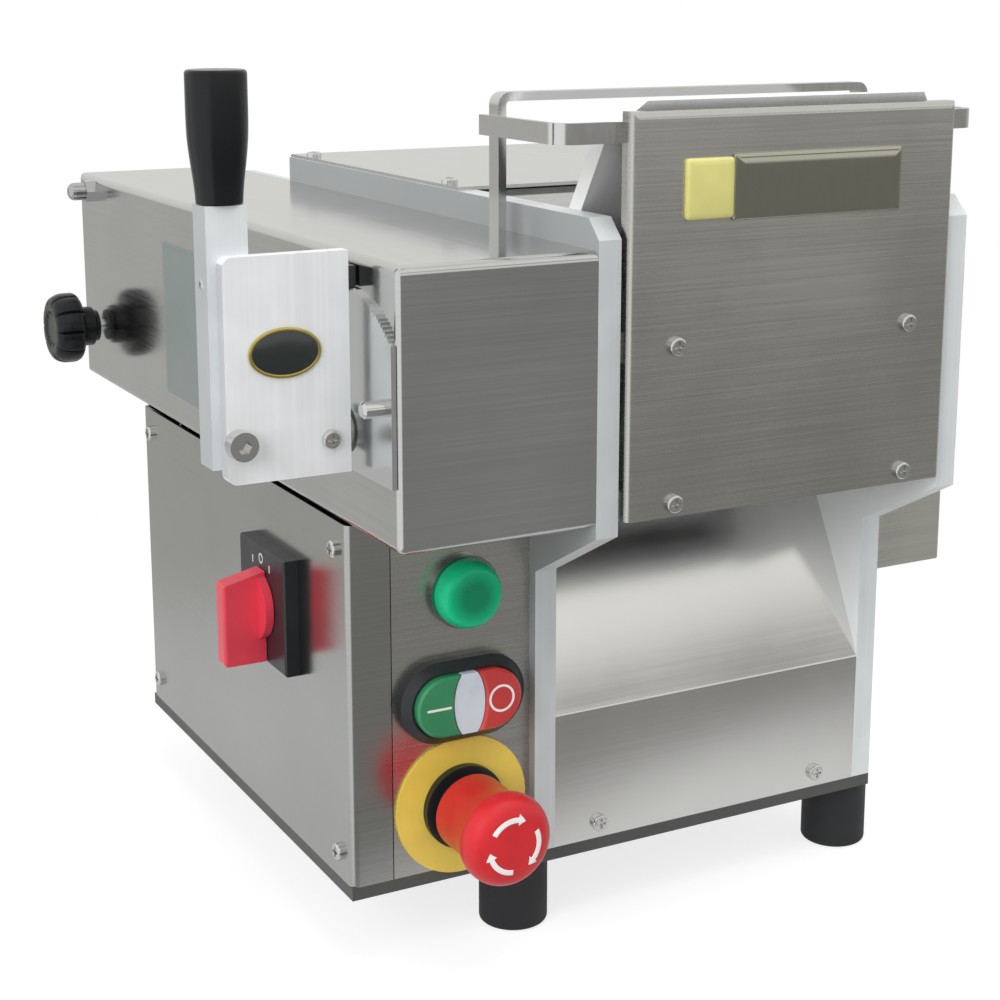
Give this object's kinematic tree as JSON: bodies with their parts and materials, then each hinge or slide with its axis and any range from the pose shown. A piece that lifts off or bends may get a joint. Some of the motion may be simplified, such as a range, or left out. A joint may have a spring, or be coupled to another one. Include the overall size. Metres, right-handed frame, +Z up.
{
  "type": "pasta sheeter",
  "caption": "Bench-top electric pasta sheeter: hopper over paired rollers, thickness lever on a toothed sector, gear cover, steep discharge chute, control box with emergency stop.",
  "frame": {"origin": "centre of the outline on the floor, under the feet", "axes": "+X to the right seen from the front, +Y to the back, +Z up"},
  "size_m": [0.3632, 0.4064, 0.371],
  "materials": {
    "steel_sheet": "brushed",
    "guard_steel": "satin",
    "plate_aluminium": "satin",
    "lever_aluminium": "satin",
    "base_paint": "satin",
    "foot_rubber": "matte",
    "bright_steel": "polished",
    "shaft_steel": "ground",
    "bush_bronze": "turned",
    "motor_paint": "satin",
    "grip_plastic": "polished",
    "black_plastic": "satin",
    "green_plastic": "gloss",
    "green_lens": "gloss",
    "pale_lens": "gloss",
    "red_plastic": "gloss",
    "yellow_plastic": "satin"
  },
  "bodies": {
    "frame": {"left_side_plate": "plate_aluminium", "right_side_plate": "plate_aluminium", "base_plate": "base_paint", "box_floor": "base_paint", "rear_panel": "steel_sheet", "discharge_chute": "steel_sheet", "front_panel": "steel_sheet", "cross_bars": "plate_aluminium", "hopper_front_plate": "steel_sheet", "hopper_rear_plate": "steel_sheet", "rear_table": "steel_sheet", "guard_bar": "guard_steel", "guard_strip": "guard_steel", "gear_cover": "steel_sheet", "right_cover": "steel_sheet", "side_cover": "steel_sheet", "control_panel": "steel_sheet", "box_rear_panel": "steel_sheet", "feet": "foot_rubber", "pan_screws": "bright_steel", "sector_plate": "lever_aluminium", "stop_pin": "bright_steel", "spindle_bush": "bush_bronze", "cover_studs": "shaft_steel", "acorn_nut": "bright_steel", "gear_motor": "motor_paint", "idler_axle": "shaft_steel", "rear_bearings": "bush_bronze", "scrapers": "shaft_steel", "pilot_base": "black_plastic", "pilot_lens": "green_lens", "button_body": "black_plastic", "button_lens": "pale_lens", "estop_disc": "yellow_plastic", "estop_body": "black_plastic", "switch_plate": "black_plastic", "switch_body": "black_plastic", "cable_gland": "black_plastic"},
    "lever": {"lever_bar": "lever_aluminium", "lever_plate": "lever_aluminium", "lever_grip": "grip_plastic", "lever_screws": "bright_steel", "lever_spindle": "shaft_steel", "link_rod": "shaft_steel", "eccentric_bushes": "shaft_steel", "index_pawl": "lever_aluminium"},
    "roller_carrier": {"front_bearings": "bush_bronze"},
    "front_roller": {"front_roller": "shaft_steel", "front_gear": "shaft_steel"},
    "rear_roller": {"rear_roller": "shaft_steel", "rear_gear": "shaft_steel", "driven_gear": "shaft_steel"},
    "idler": {"idler_gear": "shaft_steel"},
    "motor_pinion": {"motor_pinion": "shaft_steel"},
    "clamp_knob": {"clamp_knob": "grip_plastic"},
    "switch_handle": {"switch_handle": "red_plastic"},
    "start_button": {"start_button": "green_plastic"},
    "stop_button": {"stop_button": "red_plastic"},
    "estop_stem": {"estop_stem": "shaft_steel"},
    "estop_head": {"estop_head": "red_plastic"}
  },
  "joints": [
    {"name": "lever_swing", "type": "hinge", "parent": "frame", "child": "lever", "pos_m": [-0.1194, -0.1553, 0.2345], "axis": [1, 0, 0], "range_deg": [0, 40.5]},
    {"name": "front_roller_shift", "type": "slide", "parent": "frame", "child": "roller_carrier", "axis": [0, -1, 0], "range_m": [0, 0.00308]},
    {"name": "front_roller_spin", "type": "hinge", "parent": "roller_carrier", "child": "front_roller", "pos_m": [-0.1194, -0.15376, 0.23886], "axis": [1, 0, 0], "continuous": true},
    {"name": "rear_roller_spin", "type": "hinge", "parent": "frame", "child": "rear_roller", "pos_m": [-0.1194, -0.09976, 0.23886], "axis": [1, 0, 0], "continuous": true},
    {"name": "idler_spin", "type": "hinge", "parent": "frame", "child": "idler", "pos_m": [-0.1194, -0.02976, 0.23886], "axis": [1, 0, 0], "continuous": true},
    {"name": "pinion_spin", "type": "hinge", "parent": "frame", "child": "motor_pinion", "pos_m": [-0.1194, 0.02524, 0.23886], "axis": [1, 0, 0], "continuous": true},
    {"name": "clamp_knob_turn", "type": "hinge", "parent": "frame", "child": "clamp_knob", "pos_m": [-0.1194, 0.1732, 0.224], "axis": [1, 0, 0], "continuous": true},
    {"name": "main_switch_turn", "type": "hinge", "parent": "frame", "child": "switch_handle", "pos_m": [-0.1194, -0.0663, 0.139], "axis": [1, 0, 0], "range_deg": [0, 90]},
    {"name": "start_press", "type": "slide", "parent": "frame", "child": "start_button", "axis": [0, 1, 0], "range_m": [0, 0.003], "stiffness_N_per_m": 500},
    {"name": "stop_press", "type": "slide", "parent": "frame", "child": "stop_button", "axis": [0, 1, 0], "range_m": [0, 0.003], "stiffness_N_per_m": 500},
    {"name": "estop_press", "type": "slide", "parent": "frame", "child": "estop_stem", "axis": [0, 1, 0], "range_m": [0, 0.004]},
    {"name": "estop_twist", "type": "hinge", "parent": "estop_stem", "child": "estop_head", "pos_m": [-0.0681, -0.1438, 0.0655], "axis": [0, 1, 0], "range_deg": [0, 45], "stiffness_Nm_per_rad": 0.05}
  ],
  "couplings": [
    {"joint": "lever_swing", "follows": "front_roller_shift", "rad_per_m": 226.8},
    {"joint": "front_roller_spin", "follows": "rear_roller_spin", "ratio": -1},
    {"joint": "idler_spin", "follows": "rear_roller_spin", "ratio": -1},
    {"joint": "pinion_spin", "follows": "rear_roller_spin", "ratio": 1.75}
  ]
}
